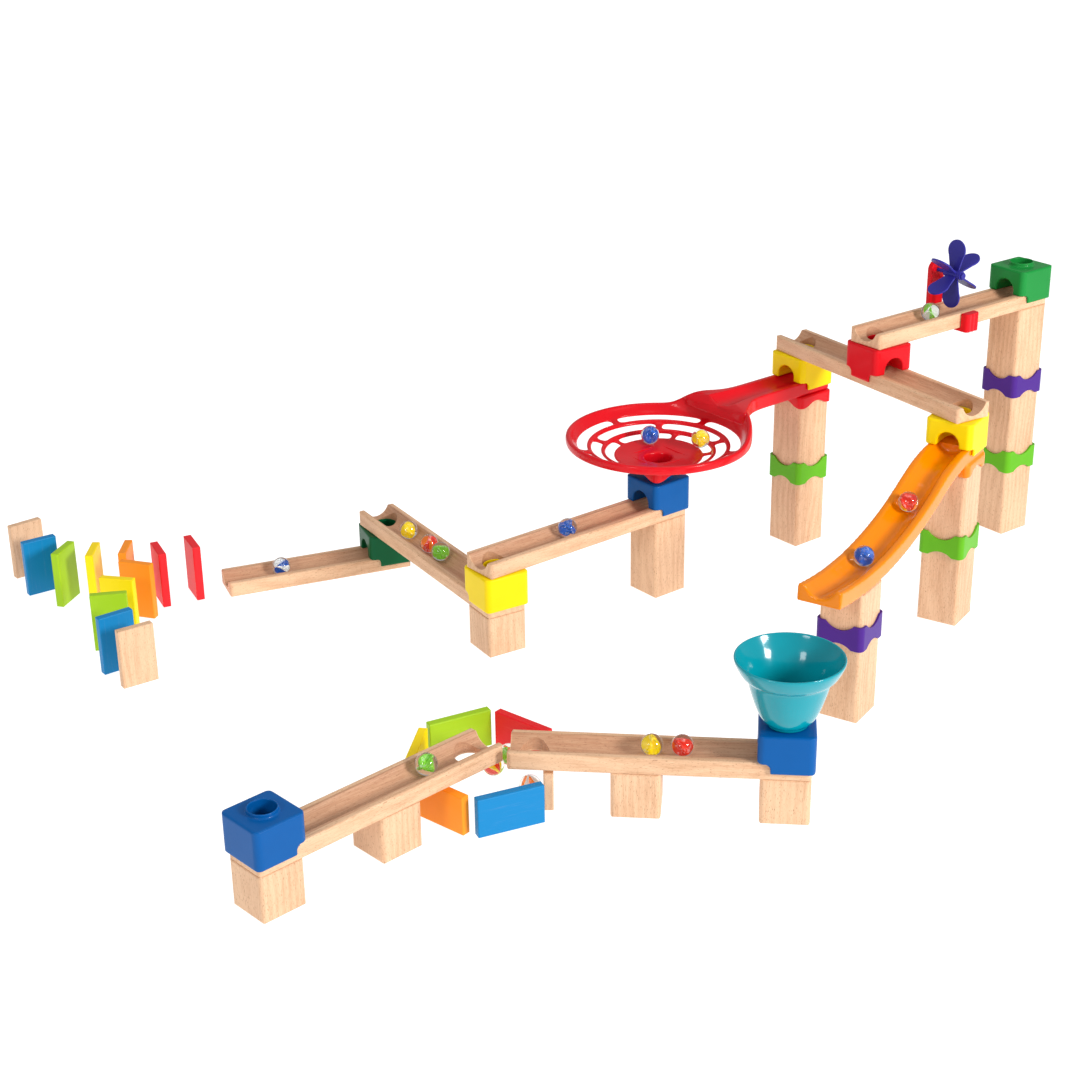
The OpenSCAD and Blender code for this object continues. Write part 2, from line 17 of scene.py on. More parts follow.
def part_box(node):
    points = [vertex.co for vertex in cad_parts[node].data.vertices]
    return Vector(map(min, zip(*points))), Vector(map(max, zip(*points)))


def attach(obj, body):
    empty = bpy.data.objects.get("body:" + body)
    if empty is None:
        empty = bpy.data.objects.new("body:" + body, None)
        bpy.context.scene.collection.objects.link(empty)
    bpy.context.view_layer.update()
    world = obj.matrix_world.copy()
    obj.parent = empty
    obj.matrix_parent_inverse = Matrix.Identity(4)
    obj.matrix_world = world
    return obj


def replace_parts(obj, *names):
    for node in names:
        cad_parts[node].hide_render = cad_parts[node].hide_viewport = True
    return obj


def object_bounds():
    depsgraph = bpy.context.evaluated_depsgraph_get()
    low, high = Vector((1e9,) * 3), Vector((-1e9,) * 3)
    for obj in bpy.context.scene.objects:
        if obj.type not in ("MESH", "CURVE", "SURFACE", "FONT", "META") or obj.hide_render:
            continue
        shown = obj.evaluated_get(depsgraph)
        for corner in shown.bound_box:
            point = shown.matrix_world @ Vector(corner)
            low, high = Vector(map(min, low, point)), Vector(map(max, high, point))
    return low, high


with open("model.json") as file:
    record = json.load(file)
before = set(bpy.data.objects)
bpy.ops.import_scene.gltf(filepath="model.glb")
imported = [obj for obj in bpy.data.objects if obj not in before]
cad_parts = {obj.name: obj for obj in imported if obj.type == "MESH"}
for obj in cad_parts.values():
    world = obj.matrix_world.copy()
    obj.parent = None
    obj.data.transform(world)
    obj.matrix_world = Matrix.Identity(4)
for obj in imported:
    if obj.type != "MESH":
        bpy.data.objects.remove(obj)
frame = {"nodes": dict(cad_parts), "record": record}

nodes = frame["nodes"]
cad_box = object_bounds()
MM = 0.001
body_of = {n: body for body, members in frame["record"]["behaviour"]["bodies"].items() for n in members}
slot_of = {s["node"]: s["material_slot"] for s in frame["record"]["subparts"]}
print(len(nodes), "frame pieces,", "box", [round(b - a, 3) for a, b in zip(*cad_box)], "m")

# %% [markdown]
# ## The camera
# A product shot looks slightly down from a distance with a short telephoto lens, so that near and
# far pieces keep honest proportions. The camera has a slight roll, so its place is a matrix:
# first the tilt about its own X, then the roll about its own Z.

# %% Camera
camera = bpy.data.objects.new("camera", bpy.data.cameras.new("camera"))
bpy.context.scene.collection.objects.link(camera)
bpy.context.scene.camera = camera
camera.data.sensor_width = 36
camera.data.lens = 65.4
camera.data.shift_x, camera.data.shift_y = 0.0028, -0.0025
camera_place = Vector((0.0054, -1.3762, 0.7277))
camera_tilt, camera_roll = radians(66.38), radians(-0.99)
camera.matrix_world = (
    Matrix.Translation(camera_place)
    @ Matrix.Rotation(camera_tilt, 4, "X")
    @ Matrix.Rotation(camera_roll, 4, "Z")
)
print("camera at", [round(x, 3) for x in camera_place])

# %% [markdown]
# ## Studio light
# Toy catalogues use a white sweep lit from all round. A white world gives the even fill. A strong
# lamp over the viewer's right shoulder and a weak one over the left leave the pale window shapes
# that shiny plastic shows, and keep the left sides of the posts darker. A broad one lights the tops.

# %% Light
scene = bpy.context.scene
scene.view_settings.view_transform = "Standard"
world = bpy.data.worlds.new("studio")
world.use_nodes = True
world.node_tree.nodes["Background"].inputs["Color"].default_value = (1, 1, 1, 1)
world.node_tree.nodes["Background"].inputs["Strength"].default_value = 0.42
scene.world = world


def lamp(name, place, target, width, height, power):
    """A rectangular softbox that faces a point."""
    light = bpy.data.lights.new(name, "AREA")
    light.shape, light.size, light.size_y, light.energy = "RECTANGLE", width, height, power
    made = bpy.data.objects.new(name, light)
    scene.collection.objects.link(made)
    made.location = place
    made.rotation_euler = (Vector(target) - Vector(place)).to_track_quat("-Z", "Y").to_euler()
    return made


middle = (cad_box[0] + cad_box[1]) / 2
lamp("window_right", (1.9, -1.5, 1.1), middle, 0.6, 0.6, 52)
lamp("window_left", (-1.4, -1.9, 1.2), middle, 0.6, 0.6, 13)
lamp("overhead", (0.1, 0.2, 2.2), middle, 1.6, 1.2, 8)
print("three lamps and a white world")

# %% [markdown]
# ## Writing shaders as sums
# A material is a graph, and a graph is hard to read as code. A `Wire` wraps one socket, so that
# `0.4 + 0.2 * grain` adds its own Math nodes. Every other node comes from `Finish.node`, which
# takes the node's type, its settings, and what goes into its sockets.

# %% Shader helpers


class Wire:
    """One output socket that can be used in a sum."""

    def __init__(self, finish, socket):
        self.finish, self.socket = finish, socket

    def sum(self, operation, a, b):
        return self.finish.node("Math", {"operation": operation}, {0: a, 1: b})

    def __add__(self, other):
        return self.sum("ADD", self, other)

    def __sub__(self, other):
        return self.sum("SUBTRACT", self, other)

    def __rsub__(self, other):
        return self.sum("SUBTRACT", other, self)

    def __mul__(self, other):
        return self.sum("MULTIPLY", self, other)

    __radd__, __rmul__ = __add__, __mul__


class Finish:
    """A material whose Principled shader is filled socket by socket."""

    def __init__(self, name):
        self.material = bpy.data.materials.new(name)
        self.material.use_nodes = True
        self.tree = self.material.node_tree
        self.shader = self.tree.nodes["Principled BSDF"]

    def join(self, socket, value):
        if isinstance(value, Wire):
            self.tree.links.new(value.socket, socket)
        elif hasattr(value, "__len__") and socket.type == "RGBA":
            socket.default_value = (*value[:3], 1)
        else:
            socket.default_value = value

    def node(self, kind, settings=None, sockets=None, output=0):
        """Adds a node. Sockets are named by place, name or identifier."""
        made = self.tree.nodes.new("ShaderNode" + kind)
        for key, value in (settings or {}).items():
            if key == "stops":
                ramp = made.color_ramp.elements
                while len(ramp) < len(value):
                    ramp.new(0.5)
                for stop, (place, shade) in zip(ramp, value):
                    stop.position, stop.color = place, (shade, shade, shade, 1)
            else:
                setattr(made, key, value)
        for key, value in (sockets or {}).items():
            found = made.inputs[key] if isinstance(key, int) else next(
                s for s in made.inputs if key in (s.identifier, s.name))
            self.join(found, value)
        return Wire(self, made.outputs[output])

    def mix(self, share, a, b):
        """Colour a, or colour b where share is 1."""
        return self.node("Mix", {"data_type": "RGBA"},
                         {"Factor_Float": share, "A_Color": a, "B_Color": b}, output=2)

    def noise(self, place, scale, detail=2.0, stretch=(1, 1, 1)):
        """Noise from 0 to 1. Scale is in features per unit of place, stretch squeezes its axes."""
        moved = self.node("Mapping", {}, {"Vector": place, "Scale": stretch})
        return self.node("TexNoise", {}, {"Vector": moved, "Scale": scale, "Detail": detail})

    def absolute(self, value):
        return self.node("Math", {"operation": "ABSOLUTE"}, {0: value})

    def step(self, value, low, high):
        """0 below low, 1 above high, and a soft edge between."""
        return self.node("MapRange", {"interpolation_type": "SMOOTHSTEP"},
                         {"Value": value, "From Min": low, "From Max": high})

    def bump(self, height, distance):
        self.join(self.shader.inputs["Normal"],
                  self.node("Bump", {}, {"Height": height, "Distance": distance}))

    def set(self, **values):
        """Fills the shader's sockets, with _ for a space in their names."""
        for name, value in values.items():
            self.join(self.shader.inputs[name.replace("_", " ")], value)
        return self.material


def place_in_mm(finish, rows=None, centre=(0, 0, 0)):
    """Coordinates on the piece in millimetres, along three axes given as rows."""
    axes = Matrix(rows or ((1, 0, 0), (0, 1, 0), (0, 0, 1)))
    start = -(axes @ Vector(centre)) / MM
    own = finish.node("TexCoord", output=3)
    return finish.node("Mapping", {}, {"Vector": own, "Location": start,
                                       "Rotation": axes.to_euler(), "Scale": (1 / MM,) * 3})


print("shader helpers ready")

# %% [markdown]
# ## Beech
# Steamed beech is pinkish tan, with three things going on. Growth rings show as wide soft bands,
# the fibres as fine streaks along the grain, and the medullary rays as the short brown flecks that
# tell beech from any other wood. All three are noise, squeezed along the grain. On the ends the
# same noise is cut across, so the streaks turn into pores and the bands into arcs.

# %% Beech finish
BEECH_LIGHT, BEECH_DARK, BEECH_FLECK = (0.82, 0.53, 0.325), (0.56, 0.285, 0.145), (0.30, 0.11, 0.045)
# The first colour on the next line is painted shade for the inside of the rails' grooves, and the number is
# the groove's width in millimetres.
GROOVE_SHADE, GROOVE_WIDTH = (0.48, 0.22, 0.12), 27


def beech(name, rows, centre, pith=(70.0, 25.0), warmth=0.0, groove=None):
    """Beech with its grain along the first of three axes, and its pith at a place off the others."""
    f = Finish(name)
    place = place_in_mm(f, rows, centre)
    along = f.node("SeparateXYZ", {}, {"Vector": place}, output=0)
    across = Wire(f, along.socket.node.outputs[1])
    up = Wire(f, along.socket.node.outputs[2])
    sway = f.noise(place, 0.03, 1.0, (0.35, 1, 1))
    a, b = across + pith[0] + 14 * sway, up + pith[1] + 9 * sway
    radius = f.node("Math", {"operation": "SQRT"}, {0: a * a + b * b})
    ring = 0.5 + 0.5 * f.node("Math", {"operation": "SINE"}, {0: radius * 1.25 + 5 * sway})
    streak = f.noise(place, 1.2, 3.0, (0.04, 1, 1))
    fibre = f.noise(place, 3.4, 2.0, (0.07, 1, 1))
    fleck = f.step(f.noise(place, 1.9, 1.0, (0.24, 1.2, 1.2)), 0.62, 0.74)
    blotch = f.noise(place, 0.035, 2.0, (0.5, 1, 1))
    shade = f.step(0.10 * ring + 0.40 * streak + 0.42 * fibre + 0.35 * blotch + (warmth - 0.12), 0.34, 0.86)
    wood = f.mix(shade, BEECH_LIGHT, BEECH_DARK)
    # Inside a rail's groove the wood is mixed towards a darker, pinker colour, streaked by the grain. This
    # is painted shade in the recess.
    if groove:
        length, height = groove
        between = 1 - f.step(f.absolute(across), GROOVE_WIDTH / 2 - 0.6, GROOVE_WIDTH / 2)
        groove_shade = between * f.step(up, 0.6 - height / 2, 1.4 - height / 2)
        groove_shade = groove_shade * (1 - f.step(f.absolute(along), length / 2 - 0.9, length / 2 - 0.2))
        wood = f.mix(groove_shade * (0.25 + 0.75 * streak), wood, GROOVE_SHADE)
    f.set(Base_Color=f.mix(fleck * 0.7, wood, BEECH_FLECK), Roughness=0.44 + 0.14 * fibre + 0.1 * fleck,
          Specular_IOR_Level=0.42)
    f.bump(0.55 * streak + 0.45 * fibre - 0.5 * fleck, 0.00012)
    return f.material


def grain_rows(node, upright):
    """Axes of a piece, its grain first. The grain is upright, or along the piece."""
    points = [v.co.xy for v in nodes[node].data.vertices]
    mean = sum(points, Vector((0, 0))) / len(points)
    xx = sum((p.x - mean.x) ** 2 for p in points)
    yy = sum((p.y - mean.y) ** 2 for p in points)
    xy = sum((p.x - mean.x) * (p.y - mean.y) for p in points)
    heading = 0.5 * atan2(2 * xy, xx - yy)
    flat, side, high = (cos(heading), sin(heading), 0), (-sin(heading), cos(heading), 0), (0, 0, 1)
    return (high, flat, side) if upright else (flat, side, high)


def centre_of(node):
    low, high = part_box(node)
    return (low + high) / 2


wooden = [n for n in nodes if slot_of[n] == "beech"]
for number, n in enumerate(sorted(wooden)):
    rows = grain_rows(n, upright="posts" in n)
    shift = 17.0 * number % 60
    nodes[n].data.materials.clear()
    turned = [Matrix(rows) @ v.co / MM for v in nodes[n].data.vertices]
    length, _, height = [max(axis) - min(axis) for axis in zip(*turned)]
    nodes[n].data.materials.append(beech(n + "_beech", rows, centre_of(n), (45 + shift, 20 + 0.5 * shift),
                                         groove=(length, height) if "rail" in n else None))
print(len(wooden), "pieces in beech")

# %% [markdown]
# ## Moulded plastic
# The blocks and collars are solid-coloured plastic out of a polished mould. Their colour is even,
# so the finish is in the gloss: the mould's fine texture breaks the highlight up, and slow waves
# where the plastic shrank as it cooled bend it. A thin clear coat gives the sharp top reflection.

# %% Plastic finish
PLASTICS = {
    "red_plastic": (0.74, 0.004, 0.012), "yellow_plastic": (1.0, 0.74, 0.0),
    "green_plastic": (0.010, 0.27, 0.045), "dark_green_plastic": (0.0, 0.11, 0.035),
    "blue_plastic": (0.0, 0.10, 0.36), "violet_plastic": (0.035, 0.03, 0.30),
    "purple_plastic": (0.075, 0.018, 0.26), "lime_plastic": (0.13, 0.48, 0.012),
    "orange_plastic": (0.94, 0.255, 0.0), "teal_plastic": (0.0, 0.31, 0.38),
}


def plastic(name, colour, roughness=0.34, coat=0.1):
    f = Finish(name)
    place = place_in_mm(f)
    slow = f.noise(place, 0.05, 2.0)
    pebble = f.noise(place, 3.2, 2.0)
    dust = f.step(f.noise(place, 0.9, 3.0), 0.62, 0.8)
    deep = [0.86 * c for c in colour]
    f.set(Base_Color=f.mix(slow, colour, deep), Roughness=roughness + 0.10 * slow + 0.05 * dust,
          Coat_Weight=coat, Coat_Roughness=0.08, Specular_IOR_Level=0.12)
    f.bump(0.25 * pebble + 1.5 * slow, 0.00006)
    return f.material


for n in nodes:
    if slot_of[n] in PLASTICS:
        slot = "violet_plastic" if n == "spinner_axle" else slot_of[n]
        glossy = slot in ("orange_plastic", "teal_plastic")
        nodes[n].data.materials.clear()
        nodes[n].data.materials.append(
            plastic(n + "_plastic", PLASTICS[slot], 0.16 if glossy else 0.34, 0.4 if glossy else 0.1))
print(sum(slot_of[n] in PLASTICS for n in nodes), "pieces in plastic")

# %% [markdown]
# Moulded plastic has no sharp edge anywhere. The frame's solids do, so the slide, the spinner's clip and the
# blocks are each replaced by a copy that is wrapped again in a fine even skin. Smoothing that skin rounds
# its edges and fillets by about as much as a mould's polishing would. The skin's cell sets the size of the
# rounding. The frame's own nodes stay as they were packed.

# %% Soft edges


def new_piece(name, mesh, *materials):
    """An object at the origin for a mesh whose place is in its vertices."""
    made = bpy.data.objects.new(name, mesh)
    scene.collection.objects.link(made)
    for material in materials:
        mesh.materials.append(material)
    return made


def modifier(obj, kind, **settings):
    made = obj.modifiers.new(kind.lower(), kind)
    for key, value in settings.items():
        setattr(made, key, value)
    return made


def softened(node, cell, rounds):
    """A piece with rounded edges that stands for a moulded node."""
    piece = new_piece("soft_" + node, nodes[node].data.copy())
    modifier(piece, "REMESH", mode="VOXEL", voxel_size=cell * MM, use_smooth_shade=True)
    modifier(piece, "SMOOTH", factor=0.5, iterations=rounds)
    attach(piece, body_of[node])
    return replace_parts(piece, node)


soft = [softened("slide", 0.95, 9), softened("spinner_clip", 0.5, 6)]
soft += [softened(n, 0.62, 7) for n in nodes if n.endswith("_block")]
print(len(soft), "moulded pieces softened")

# %% [markdown]
# ## Painted dominoes
# The dominoes are beech blocks dipped in thin paint. The fibres still lift the paint a little, so the wood's
# streaks go into the colour as well as the bump. On real ones the rounded edges rub paler first, which is
# not drawn here.

# %% Domino finish
PAINTS = {
    "domino_red": (0.84, 0.012, 0.02), "domino_orange": (1.0, 0.30, 0.012),
    "domino_yellow": (1.0, 0.74, 0.0), "domino_green": (0.36, 0.60, 0.012),
    "domino_blue": (0.0, 0.21, 0.50),
}


def paint(name, colour, rows, centre):
    f = Finish(name)
    place = place_in_mm(f, rows, centre)
    streak = f.noise(place, 0.7, 3.0, (0.05, 1, 1))
    fibre = f.noise(place, 2.4, 2.0, (0.06, 1, 1))
    thin = f.step(0.6 * streak + 0.4 * fibre, 0.52, 0.78)
    pale = [c + 0.10 * (1 - c) * b for c, b in zip(colour, BEECH_LIGHT)]
    f.set(Base_Color=f.mix(thin * 0.5, colour, pale), Roughness=0.36 + 0.16 * fibre, Specular_IOR_Level=0.25)
    f.bump(0.6 * streak + 0.4 * fibre, 0.00007)
    return f.material


for n in nodes:
    upright = not n.startswith("pen")
    if "domino" in n:
        nodes[n].data.materials.clear()
    if slot_of[n] in PAINTS:
        nodes[n].data.materials.append(
            paint(n + "_paint", PAINTS[slot_of[n]], grain_rows(n, upright), centre_of(n)))
    elif "domino" in n:
        nodes[n].data.materials.append(
            beech(n + "_beech", grain_rows(n, upright), centre_of(n), (30, 12), -0.05))
print(sum("domino" in n for n in nodes), "dominoes")

# %% [markdown]
# ## Glass marbles
# A cat's-eye marble is clear glass with coloured vanes inside, twisted while it was soft. A sphere
# could come from a Screw, but its poles would show in glass. A cube that is subdivided and then
# cast to a sphere has no poles, so each marble is that. Its vanes are twisted petals.

# %% Clear glass and coloured vanes


def clear_glass(name):
    f = Finish(name)
    place = place_in_mm(f)
    swirl = f.noise(place, 0.5, 2.0)
    f.set(Base_Color=f.mix(swirl, (1.0, 1.0, 1.0), (0.93, 0.985, 0.97)), Roughness=0.012 + 0.03 * swirl,
          Transmission_Weight=1.0, IOR=1.48)
    return f.material


def glowing_vane_finish(name, colour):
    f = Finish(name)
    place = place_in_mm(f)
    swirl = f.noise(place, 0.42, 3.0)
    white = f.step(swirl, 0.52, 0.72)
    shade = f.mix(white * 0.35, colour, (0.95, 0.95, 0.92))
    # The vane also glows faintly in its own colour. This is painted light, standing in for the lamp light
    # that the glass would bend onto it.
    f.set(Base_Color=shade, Roughness=0.22 + 0.2 * swirl, Emission_Color=shade, Emission_Strength=0.22)
    return f.material


glass = clear_glass("marble_glass")
VANE_COLOURS = {
    "blue": (0.0, 0.11, 0.58), "red": (0.82, 0.03, 0.01), "yellow": (1.0, 0.72, 0.0),
    "green": (0.22, 0.62, 0.03), "orange": (1.0, 0.22, 0.01), "white": (0.9, 0.9, 0.88),
}
VANES = {name: glowing_vane_finish("vane_" + name, colour) for name, colour in VANE_COLOURS.items()}
print("glass and", len(VANES), "vane colours")

# %% [markdown]
# The frame holds some marbles together in one piece. Its balls are found as the separate islands of
# a merged copy of that piece, so that each gets its own glass and its own vanes.

# %% Balls and vanes


def islands(node):
    """(centre, radius) of each ball in a frame piece."""
    shell = bmesh.new()
    shell.from_mesh(nodes[node].data)
    bmesh.ops.remove_doubles(shell, verts=shell.verts, dist=1e-5)
    left, found = set(shell.verts), []
    while left:
        ring, seen = [left.pop()], []
        while ring:
            v = ring.pop()
            seen.append(v.co.copy())
            near = {e.other_vert(v) for e in v.link_edges} & left
            left -= near
            ring += near
        low = Vector(map(min, *seen))
        high = Vector(map(max, *seen))
        found.append(((low + high) / 2, (high - low).length / 2 / sqrt(3)))
    shell.free()
    return sorted(found, key=lambda ball: tuple(ball[0]))


def stacked(obj, matrix):
    """Applies an object's modifiers at its own origin, and then its place."""
    bpy.context.view_layer.update()
    done = bpy.data.meshes.new_from_object(obj.evaluated_get(bpy.context.evaluated_depsgraph_get()))
    old = obj.data
    obj.modifiers.clear()
    obj.data = done
    bpy.data.meshes.remove(old)
    done.transform(matrix)
    return obj


def ball(name, radius):
    """A sphere without poles."""
    cage = bmesh.new()
    bmesh.ops.create_cube(cage, size=radius)
    mesh = bpy.data.meshes.new(name)
    cage.to_mesh(mesh)
    cage.free()
    mesh.shade_smooth()
    made = new_piece(name, mesh, glass)
    modifier(made, "SUBSURF", subdivision_type="SIMPLE", levels=4, render_levels=4)
    modifier(made, "CAST", factor=1.0, cast_type="SPHERE", radius=radius, size=radius,
             use_radius_as_size=False)
    return made


def vane(name, radius, colour, twist):
    """A petal across the ball, twisted about its long axis."""
    half, mesh = 0.64 * radius, bpy.data.meshes.new(name)
    across = [0.30, 0.72, 0.84, 0.72, 0.30]
    rows = [(-half + 2 * half * k / 4, 0.80 * radius * w) for k, w in enumerate(across)]
    points = [(x, side * w, 0.10 * radius * sin(2 * side)) for x, w in rows for side in (-1, -0.4, 0.4, 1)]
    faces = [(4 * k + s, 4 * k + s + 1, 4 * k + s + 5, 4 * k + s + 4) for k in range(4) for s in range(3)]
    mesh.from_pydata(points, [], faces)
    mesh.shade_smooth()
    made = new_piece(name, mesh, VANES[colour])
    modifier(made, "SOLIDIFY", thickness=0.20 * radius, offset=0)
    modifier(made, "SUBSURF", levels=2, render_levels=2)
    modifier(made, "SIMPLE_DEFORM", deform_method="TWIST", deform_axis="X", angle=radians(twist))
    return made


MARBLES = {
    "marble_top_rail": [("green", "white")], "marble_bowl_lower": [("blue", "blue")],
    "marble_bowl_upper": [("yellow", "yellow")], "marble_middle_rail": [("blue", "blue")],
    "marble_back_rail_1": [("green", "green")], "marble_back_rail_2": [("orange", "red")],
    "marble_back_rail_3": [("yellow", "yellow")], "marble_exit_rail": [("blue", "white")],
    "marble_slide_upper": [("red", "red")], "marble_slide_lower": [("blue", "blue")],
    "marbles_funnel_rail": [("yellow", "yellow"), ("red", "red")],
    "marble_front_rail": [("green", "green")],
    "marbles_pen": [("yellow", "red"), ("green", "orange"), ("orange", "white")],
}
count = 0
for node, colours in MARBLES.items():
    for number, ((centre, radius), pair) in enumerate(zip(islands(node), colours), 1):
        name = f"{node}_{number}" if len(colours) > 1 else node
        count += 1
        turn = Euler((0.9 * count, 0.4 + 0.7 * count, 1.3 * count)).to_matrix().to_4x4()
        shell = stacked(ball(name + "_glass", radius), Matrix.Translation(centre))
        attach(shell, body_of[node])
        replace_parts(shell, node)
        for k, colour in enumerate(pair):
            petal = vane(f"{name}_vane_{k + 1}", radius, colour, 70 if k else -60)
            stacked(petal, Matrix.Translation(centre) @ turn @ Matrix.Rotation(k * pi / 2, 4, "X"))
            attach(petal, body_of[node])
print(count, "marbles")

# %% [markdown]
# ## The spiral bowl
# The bowl is one flowing moulding, so it is modelled again from four coarse cages: dish, arm, and
# the two square sleeves that sit on the towers. All sizes are in millimetres from the bowl's axis,
# with the arm along X. The rim climbs to the arm on both sides.

# %% Sizes of the bowl
COLUMNS, RIBS = 60, 5
RIM, RISE_FROM = 38.0, 32.0  # height of the rim, and where the wall under it starts to climb
MOUTH_HEIGHT = 44.6  # height of the rim where the arm's groove cuts it
PITCH, ARM_LOW, ARM_TOP = 170.0, 39.0, 52.0
FLARE, FLARE_X, MEETS = 45.0, 106.2, 67.4  # radius and start of the arm's flare, and where it ends
RIM_MIDDLE, ARM_HALF = 74.0, 17.5
ARM_HEADING = radians(38)
DISH = [(11.5, 2.0), (11.5, 9.0), (11.5, 16.0), (13.0, 16.7), (24.0, 18.1), (35.5, 19.5), (37.5, 20.0),
        (44.5, 21.2), (46.0, 23.8), (48.5, 24.5), (56.5, 25.7), (58.0, 28.3), (60.5, 29.0), (68.5, 30.0),
        (71.0, 32.0), (74.0, 35.5), (74.8, RIM), (78.6, RIM), (79.0, RIM - 3.0), (78.6, RIM - 7.5)]
SLOTS = {6: 4, 9: 7, 12: 1}  # row under each ring of slots, and the column of its first rib
RIM_ROW = 14
MOUTH = 10  # half the angle over which the arm's groove cuts the rim
# Degrees from the arm at which the rim starts to climb, and over how many, on its two sides
CLIMB_LEFT, CLIMB_RIGHT = (43, 22), (72, 50)


def eased(x):
    x = min(max(x, 0.0), 1.0)
    return x * x * (3 - 2 * x)


def climb(angle):
    """How far the rim has climbed towards the arm, 0 to 1, at an angle from the arm."""
    angle = (angle + 180) % 360 - 180
    start, over = CLIMB_LEFT if angle > 0 else CLIMB_RIGHT
    return eased((start - abs(angle)) / over)


print("the dish has", len(DISH), "rings of", COLUMNS, "points")

# %% [markdown]
# The dish is a polar grid. Its rows are rings of the profile, its columns are steps of angle, and
# the faces left out are the slots.

# %% Dish


def dish():
    step = 360 / COLUMNS
    points, faces = [], []
    for row, (r, z) in enumerate(DISH):
        for column in range(COLUMNS):
            angle = (column + 0.5) * step
            share = min(max((z - RISE_FROM) / (RIM - RISE_FROM), 0), 1) if row >= RIM_ROW else 0
            height = MOUTH_HEIGHT if min(angle, 360 - angle) < MOUTH else ARM_TOP - 0.3
            lift = (height - RIM) * climb(angle) * share
            points.append((r * cos(radians(angle)) * MM, r * sin(radians(angle)) * MM, (z + lift) * MM))
    for row in range(len(DISH) - 1):
        for column in range(COLUMNS):
            after = (column + 1) % COLUMNS
            slot = row in SLOTS and (column - SLOTS[row]) % (COLUMNS // RIBS)
            if not slot:
                a, b = row * COLUMNS, (row + 1) * COLUMNS
                faces.append((a + column, b + column, b + after, a + after))
    return points, faces


print("dish:", len(dish()[1]), "faces in its cage")

# %% [markdown]
# The arm is a row of channel sections, from the rim to its far end. They widen where the arm meets
# the rim, and there they also bend to follow it.

# %% Arm


def arm():
    points, faces = [], []
    stations = [MEETS, MEETS + 1, 71, 76, 82, 89, 97, FLARE_X, 118, 142, 168, PITCH + 16.5, PITCH + 17.5]
    for x in stations:
        flare = FLARE - sqrt(max(FLARE ** 2 - max(FLARE_X - x, 0) ** 2, 0))
        half, floor = ARM_HALF + flare, ARM_LOW + 5.5 + 2.5 * (x - MEETS) / 117
        groove = 12.6 + 0.15 * flare
        across = [-groove, -0.86 * groove, -0.45 * groove, 0.45 * groove, 0.86 * groove, groove]
        depth = [ARM_TOP, floor + 4.2, floor + 0.6, floor + 0.6, floor + 4.2, ARM_TOP]
        left = [(-half + 0.6, ARM_LOW), (-half, ARM_LOW + 0.8),
                (-half, ARM_TOP - 0.7), (-half + 0.7, ARM_TOP)]
        right = [(-y, z) for y, z in reversed(left)]
        inside = list(zip(across, [d - 0.6 if d == ARM_TOP else d for d in depth]))
        ring = left + [(-groove - 0.5, ARM_TOP)] + inside + [(groove + 0.5, ARM_TOP)] + right
        curl = 1 - eased((x - MEETS) / 25)
        for y, z in ring:
            bent = x + curl * (sqrt(RIM_MIDDLE ** 2 - y * y) - MEETS)
            rim = RIM - 0.3 + (ARM_TOP - RIM) * max(climb(degrees(atan2(y, bent))), 1 - curl)
            points.append((bent * MM, y * MM, min(z, rim) * MM))
    count = len(ring)
    for k in range(len(stations) - 1):
        for j in range(count):
            a, b = k * count + j, k * count + (j + 1) % count
            faces.append((a, b, b + count, a + count))
    faces += [tuple(range(count))[::-1], tuple(range((len(stations) - 1) * count, len(stations) * count))]
    return points, faces


print("arm:", len(arm()[1]), "faces in its cage")

# %% [markdown]
# A sleeve hangs over a tower's top. Its lower edge is a wave, as on the collars. Then each cage
# becomes a piece: Solidify gives the thin ones their wall, and Subdivision rounds all four.

# %% Sleeves and pieces


def sleeve(x, corner, middle, top, capped):
    """A square sleeve about a tower's axis, whose lower edge is a wave, high at the middle of each side."""
    half, bend, points = 19.4, 4.5, []
    quarter = [k * pi / 6 for k in range(4)]
    outline = [(half - bend + bend * cos(a), half - bend + bend * sin(a)) for a in quarter]
    outline += [(t, half) for t in (10, 7, 3.5, 0, -3.5, -7, -10)]
    around = [(px * cos(q) - py * sin(q), px * sin(q) + py * cos(q), px) for q in (0, pi / 2, pi, 1.5 * pi)
              for px, py in outline]
    for px, py, along in around:
        wave = (middle - corner) * max(0, 1 - (along / 11.2) ** 2)
        heights = (corner + wave, corner + wave + 0.6, top - 0.6, top)
        points += [((x + px) * MM, py * MM, z * MM) for z in heights]
    faces = []
    for k in range(len(around)):
        a, b = 4 * k, 4 * ((k + 1) % len(around))
        faces += [(a + j, b + j, b + j + 1, a + j + 1) for j in range(3)]
    if capped:
        faces.append(tuple(4 * k + 3 for k in range(len(around))))
    return points, faces


axis = next(j for j in frame["record"]["behaviour"]["joints"] if j["name"] == "bowl_orbit_upper")["pos_m"]
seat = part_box("spiral_bowl")[0].z
bowl_place = Matrix.Translation((axis[0], axis[1], seat)) @ Matrix.Rotation(ARM_HEADING, 4, "Z")
bowl_red = plastic("bowl_red", PLASTICS["red_plastic"], 0.27, 0.25)
cages = {  # cage, and the thickness that Solidify gives it
    "bowl_dish": (dish(), 2.3), "bowl_arm": (arm(), 0),
    "bowl_socket": (sleeve(PITCH, ARM_LOW - 11, ARM_LOW - 6, ARM_LOW + 0.4, True), 1.6),
    "bowl_sleeve": (sleeve(0, 2.5, 6.5, 18.0, False), 1.6),
}
for name, ((points, faces), thickness) in cages.items():
    mesh = bpy.data.meshes.new(name)
    mesh.from_pydata(points, [], faces)
    mesh.shade_smooth()
    piece = new_piece(name, mesh, bowl_red)
    if thickness:
        modifier(piece, "SOLIDIFY", thickness=thickness * MM, offset=-1, use_even_offset=True)
    modifier(piece, "SUBSURF", levels=2, render_levels=2)
    stacked(piece, bowl_place)
    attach(piece, body_of["spiral_bowl"])
    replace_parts(piece, "spiral_bowl")
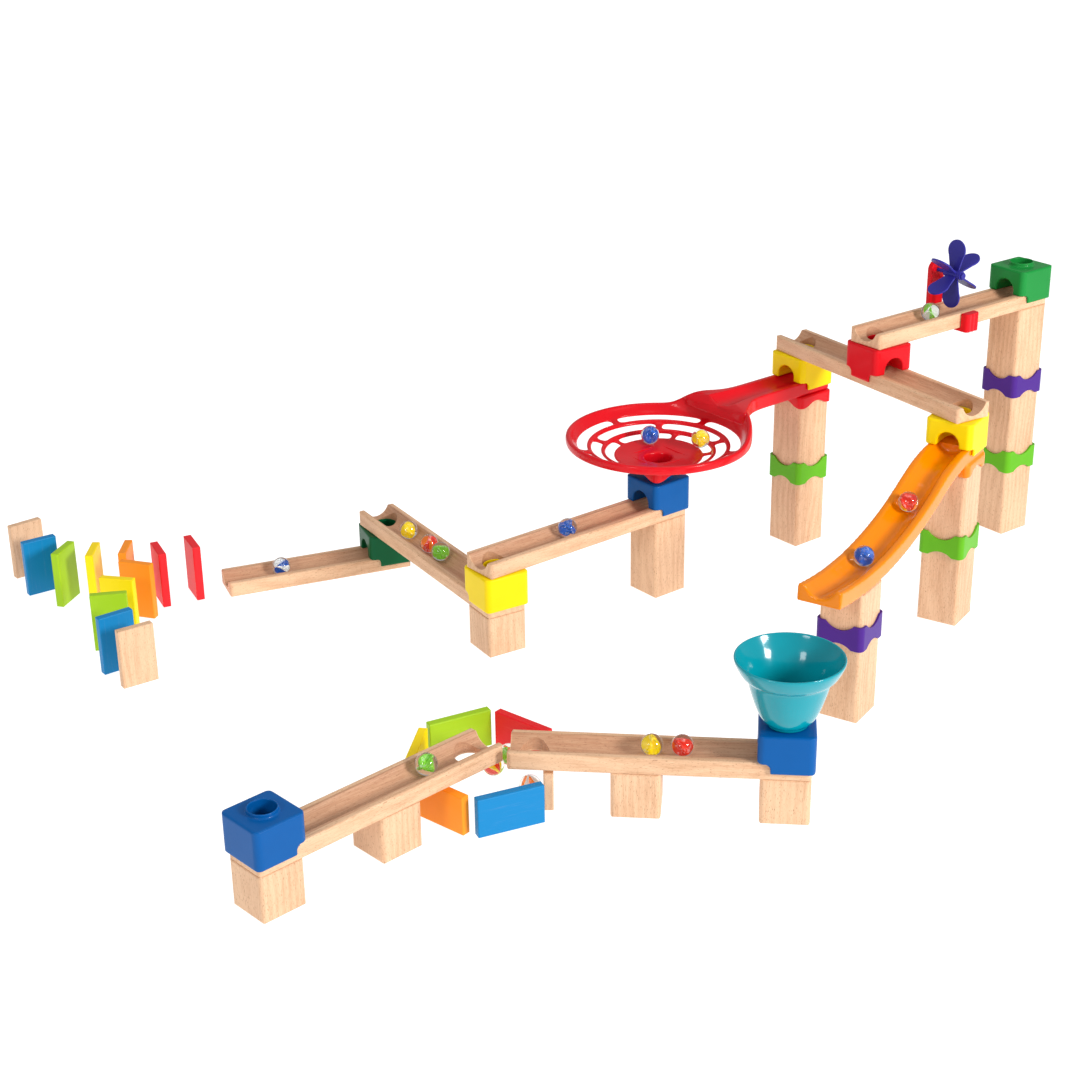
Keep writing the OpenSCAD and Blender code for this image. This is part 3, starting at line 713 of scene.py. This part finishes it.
print("bowl in", len(cages), "pieces")

# %% [markdown]
# ## The funnel
# The funnel is a turned shape: one closed profile, up the outside, over the lip and down the
# inside. Subdivision rounds the profile, and Screw turns it round the axis.

# %% Funnel
OUTSIDE = [(11.2, 0.2), (14.6, 0.2), (14.9, 2.4), (16.0, 3.4), (18.6, 5.6), (21.8, 12.0),
           (25.2, 22.0), (28.0, 32.0), (29.2, 37.4), (32.4, 38.6), (34.4, 41.2), (37.6, 47.8)]
LIP = [(38.4, 50.6), (37.7, 51.4), (36.8, 51.2), (36.2, 49.8)]
INSIDE = [(33.6, 45.6), (30.0, 40.5), (26.8, 33.5), (23.8, 24.5), (20.8, 15.5), (18.0, 9.8),
          (15.0, 6.6), (11.2, 4.0)]
cup_outline = OUTSIDE + LIP + INSIDE
low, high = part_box("funnel")
profile = bpy.data.meshes.new("funnel_cup")
edges = [(k, (k + 1) % len(cup_outline)) for k in range(len(cup_outline))]
profile.from_pydata([(r * MM, 0, z * MM) for r, z in cup_outline], edges, [])
cup = new_piece("funnel_cup", profile, plastic("funnel_teal", PLASTICS["teal_plastic"], 0.14, 0.6))
modifier(cup, "SUBSURF", levels=2, render_levels=2)
modifier(cup, "SCREW", axis="Z", steps=96, render_steps=96, use_merge_vertices=True, use_smooth_shade=True,
         use_normal_calculate=True)
stacked(cup, Matrix.Translation(((low.x + high.x) / 2, (low.y + high.y) / 2, low.z)))
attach(cup, body_of["funnel"])
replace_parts(cup, "funnel")
print("funnel", len(cup.data.polygons), "faces")

# %% [markdown]
# ## The floor
# A plain sheet of white. It glows almost as brightly as white paper reflects, so that no shadow
# shows on it, as on an overexposed studio sweep. From a low viewpoint its far edge can be seen.

# %% Floor
FLOOR_SIZE, FLOOR_DROP = 12.0, 0.0004
sweep = bmesh.new()
bmesh.ops.create_grid(sweep, x_segments=1, y_segments=1, size=FLOOR_SIZE / 2,
                      matrix=Matrix.Translation((0, 0, -FLOOR_DROP)))
floor_mesh = bpy.data.meshes.new("floor")
sweep.to_mesh(floor_mesh)
sweep.free()
PAPER_LIGHT, PAPER_DARK, PAPER_GLOW = (0.34, 0.34, 0.34), (0.30, 0.30, 0.30), 0.97
paper = Finish("paper_sweep")
tooth = paper.noise(place_in_mm(paper), 0.02, 2.0)
paper.set(Base_Color=paper.mix(tooth, PAPER_LIGHT, PAPER_DARK), Roughness=0.9,
          Specular_IOR_Level=0.0, Emission_Color=(1, 1, 1), Emission_Strength=PAPER_GLOW)
floor = new_piece("floor", floor_mesh, paper.material)
print("floor", FLOOR_SIZE, "m across")
